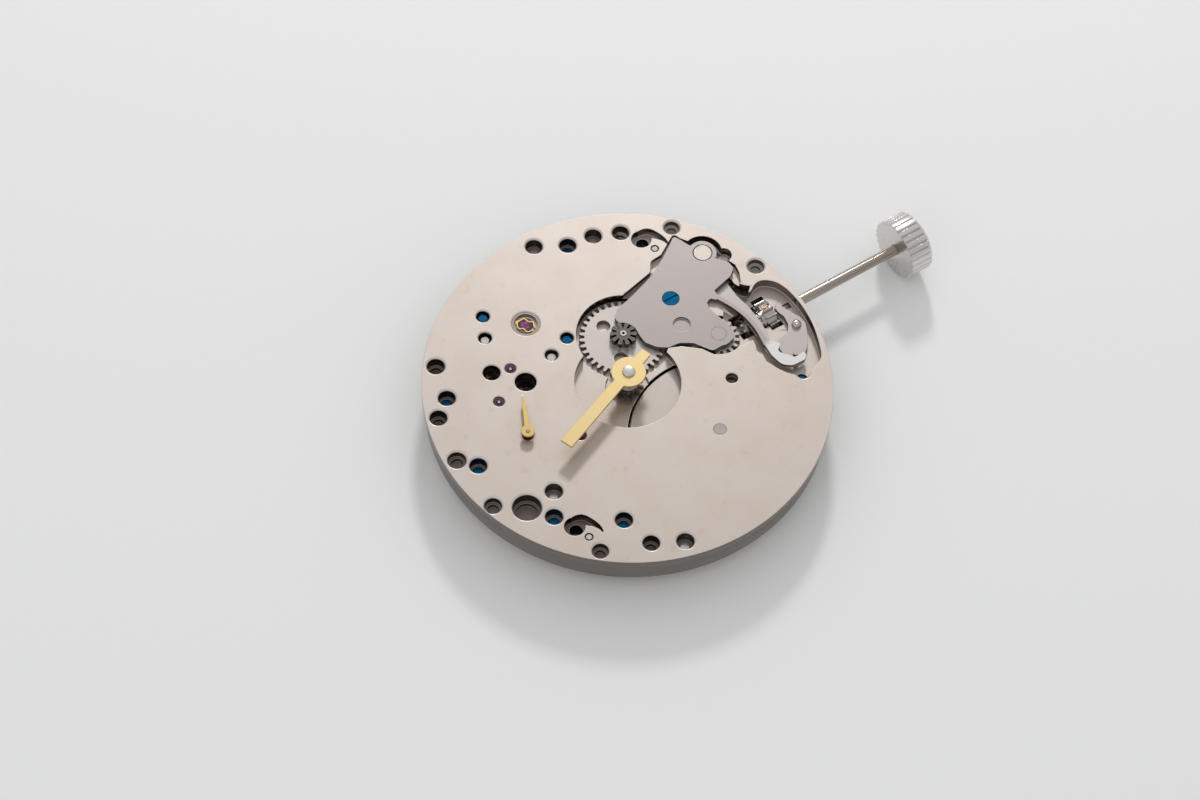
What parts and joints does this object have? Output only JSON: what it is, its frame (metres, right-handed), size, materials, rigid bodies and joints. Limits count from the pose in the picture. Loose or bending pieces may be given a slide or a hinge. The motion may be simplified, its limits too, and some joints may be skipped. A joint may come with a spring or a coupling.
{
  "type": "watch movement",
  "caption": "Hand-wound watch movement seen from the dial side, with hour wheel and dial off: round plate, keyless works, small seconds, minute hand, stem and crown.",
  "frame": {"origin": "centre of the main plate's rim, at the flat dial side", "axes": "+Z out of the dial side, +X along the winding stem towards the crown, +Y across the dial side to the left of the stem's direction"},
  "size_m": [0.0503, 0.0366, 0.0066],
  "materials": {
    "plate_nickel": "nickel-plated brass, satin",
    "pin_steel": "polished",
    "blued_screws": "heat-blued, polished",
    "ruby": "polished synthetic ruby, shown by its colour",
    "cap_ruby": "polished synthetic ruby, shown by its colour",
    "setting_metal": "turned, satin",
    "gilt_spring": "gilt",
    "drum_metal": "nickel-plated brass, satin",
    "spring_steel": "bright",
    "blued_spring": "heat-blued",
    "wheel_steel": "snailed and bevelled",
    "arbor_steel": "turned, polished",
    "wheel_brass": "gilt",
    "balance_alloy": "gilt alloy",
    "index_steel": "polished",
    "crown_steel": "bright, knurled",
    "keyless_steel": "fine brushed",
    "jumper_steel": "stamped, satin, hook end polished",
    "motion_steel": "turned",
    "gilt_hands": "pale gilt"
  },
  "bodies": {
    "movement": {"main_plate": "plate_nickel", "barrel_bridge": "plate_nickel", "train_bridge": "plate_nickel", "pallet_bridge": "plate_nickel", "balance_cock": "plate_nickel", "steady_pins": "pin_steel", "bridge_screws": "blued_screws", "small_screws": "blued_screws", "plate_jewels": "ruby", "bridge_jewels": "ruby", "shock_settings": "setting_metal", "shock_springs": "gilt_spring", "cap_jewels": "cap_ruby", "click_spring": "spring_steel", "crown_wheel_core": "wheel_steel", "crown_wheel_screw": "blued_screws", "hairspring": "blued_spring", "hairspring_stud": "arbor_steel", "stud_carrier": "index_steel", "setting_lever_screw": "keyless_steel", "yoke_spring": "spring_steel", "lever_jumper": "jumper_steel", "jumper_screw": "blued_screws"},
    "barrel": {"barrel_drum": "drum_metal", "barrel_cover": "drum_metal", "mainspring": "spring_steel"},
    "ratchet": {"barrel_arbor": "arbor_steel", "ratchet_wheel": "wheel_steel", "ratchet_screw": "blued_screws"},
    "click": {"click": "wheel_steel"},
    "crown_wheel": {"crown_wheel": "wheel_steel"},
    "centre": {"centre_arbor": "arbor_steel", "centre_wheel": "wheel_brass"},
    "third": {"third_pinion": "arbor_steel", "third_wheel": "wheel_brass"},
    "fourth": {"fourth_pinion": "arbor_steel", "fourth_wheel": "wheel_brass", "seconds_hand": "gilt_hands"},
    "escape": {"escape_pinion": "arbor_steel", "escape_wheel": "arbor_steel"},
    "fork": {"pallet_fork": "arbor_steel", "pallet_stones": "ruby", "pallet_arbor": "arbor_steel"},
    "balance": {"balance_staff": "arbor_steel", "balance_wheel": "balance_alloy", "roller_table": "arbor_steel", "impulse_jewel": "ruby", "hairspring_collet": "wheel_brass"},
    "regulator": {"regulator": "index_steel"},
    "winding_pinion": {"winding_pinion": "keyless_steel"},
    "stem": {"stem": "crown_steel", "crown": "crown_steel"},
    "clutch": {"sliding_clutch": "keyless_steel"},
    "setting_lever": {"setting_lever": "keyless_steel"},
    "yoke": {"yoke": "keyless_steel"},
    "setting_wheel": {"setting_wheel": "keyless_steel"},
    "intermediate": {"intermediate_wheel": "keyless_steel"},
    "cannon": {"cannon_pinion": "motion_steel", "minute_hand": "gilt_hands"},
    "minute_wheel": {"minute_wheel": "motion_steel"}
  },
  "joints": [
    {"name": "seconds_turn", "type": "hinge", "parent": "movement", "child": "fourth", "pos_m": [-0.0105, 0, -0.0019], "axis": [0, 0, -1], "continuous": true},
    {"name": "escape_turn", "type": "hinge", "parent": "movement", "child": "escape", "pos_m": [-0.0108, 0.0043, -0.0019], "axis": [0, 0, -1], "continuous": true},
    {"name": "third_turn", "type": "hinge", "parent": "movement", "child": "third", "pos_m": [-0.00655, -0.00245, -0.0019], "axis": [0, 0, -1], "continuous": true},
    {"name": "centre_turn", "type": "hinge", "parent": "movement", "child": "centre", "pos_m": [0, 0, -0.0019], "axis": [0, 0, -1], "continuous": true},
    {"name": "barrel_turn", "type": "hinge", "parent": "movement", "child": "barrel", "pos_m": [0.0042, -0.0084, -0.0019], "axis": [0, 0, -1], "continuous": true},
    {"name": "minute_hand_turn", "type": "hinge", "parent": "movement", "child": "cannon", "pos_m": [0, 0, 0], "axis": [0, 0, -1], "continuous": true},
    {"name": "minute_wheel_turn", "type": "hinge", "parent": "movement", "child": "minute_wheel", "pos_m": [0.0024, 0.0044, -0.0007], "axis": [0, 0, -1], "continuous": true},
    {"name": "intermediate_turn", "type": "hinge", "parent": "movement", "child": "intermediate", "pos_m": [0.00751, 0.00258, -0.0007], "axis": [0, 0, -1], "continuous": true},
    {"name": "setting_wheel_turn", "type": "hinge", "parent": "movement", "child": "setting_wheel", "pos_m": [0.0098, 0, -0.0007], "axis": [0, 0, -1], "continuous": true},
    {"name": "stem_turn", "type": "hinge", "parent": "movement", "child": "winding_pinion", "pos_m": [0.015, 0, -0.0019], "axis": [1, 0, 0], "continuous": true},
    {"name": "crown_wheel_turn", "type": "hinge", "parent": "movement", "child": "crown_wheel", "pos_m": [0.011, 0, -0.0036], "axis": [0, 0, 1], "continuous": true},
    {"name": "ratchet_turn", "type": "hinge", "parent": "movement", "child": "ratchet", "pos_m": [0.0042, -0.0084, -0.0036], "axis": [0, 0, 1], "continuous": true},
    {"name": "stem_pull", "type": "slide", "parent": "winding_pinion", "child": "stem", "axis": [1, 0, 0], "range_m": [0, 0.001]},
    {"name": "clutch_shift", "type": "slide", "parent": "winding_pinion", "child": "clutch", "axis": [1, 0, 0], "range_m": [-0.000425, 0]},
    {"name": "setting_lever_swing", "type": "hinge", "parent": "movement", "child": "setting_lever", "pos_m": [0.0165, -0.00265, -0.0008], "axis": [0, 0, 1], "range_deg": [-24, 0]},
    {"name": "yoke_swing", "type": "hinge", "parent": "movement", "child": "yoke", "pos_m": [0.0135, 0.0081, -0.0008], "axis": [0, 0, 1], "range_deg": [-3, 0]},
    {"name": "balance_swing", "type": "hinge", "parent": "movement", "child": "balance", "pos_m": [-0.0044, 0.01, -0.0033], "axis": [0, 0, 1], "range_deg": [-28, 28]},
    {"name": "pallet_rock", "type": "hinge", "parent": "movement", "child": "fork", "pos_m": [-0.0081, 0.0067, -0.002], "axis": [0, 0, 1], "range_deg": [-5, 5]},
    {"name": "click_lift", "type": "hinge", "parent": "movement", "child": "click", "pos_m": [0.0119, -0.0107, -0.0036], "axis": [0, 0, 1], "range_deg": [-8, 0]},
    {"name": "regulator_turn", "type": "hinge", "parent": "movement", "child": "regulator", "pos_m": [-0.0044, 0.01, -0.0045], "axis": [0, 0, 1], "range_deg": [-6, 6]}
  ],
  "couplings": [
    {"joint": "escape_turn", "follows": "seconds_turn", "ratio": -10},
    {"joint": "third_turn", "follows": "seconds_turn", "ratio": -0.13333},
    {"joint": "centre_turn", "follows": "seconds_turn", "ratio": 0.016667},
    {"joint": "barrel_turn", "follows": "seconds_turn", "ratio": -0.0025},
    {"joint": "minute_hand_turn", "follows": "seconds_turn", "ratio": 0.016667},
    {"joint": "minute_wheel_turn", "follows": "seconds_turn", "ratio": -0.0055556},
    {"joint": "intermediate_turn", "follows": "seconds_turn", "ratio": 0.0125},
    {"joint": "setting_wheel_turn", "follows": "seconds_turn", "ratio": -0.011765},
    {"joint": "crown_wheel_turn", "follows": "stem_turn", "ratio": -0.34211},
    {"joint": "ratchet_turn", "follows": "stem_turn", "ratio": 0.22807},
    {"joint": "clutch_shift", "follows": "stem_pull", "ratio": -0.42},
    {"joint": "setting_lever_swing", "follows": "stem_pull", "rad_per_m": -418.01},
    {"joint": "yoke_swing", "follows": "stem_pull", "rad_per_m": -51.836},
    {"joint": "pallet_rock", "follows": "balance_swing", "ratio": -0.1754}
  ]
}
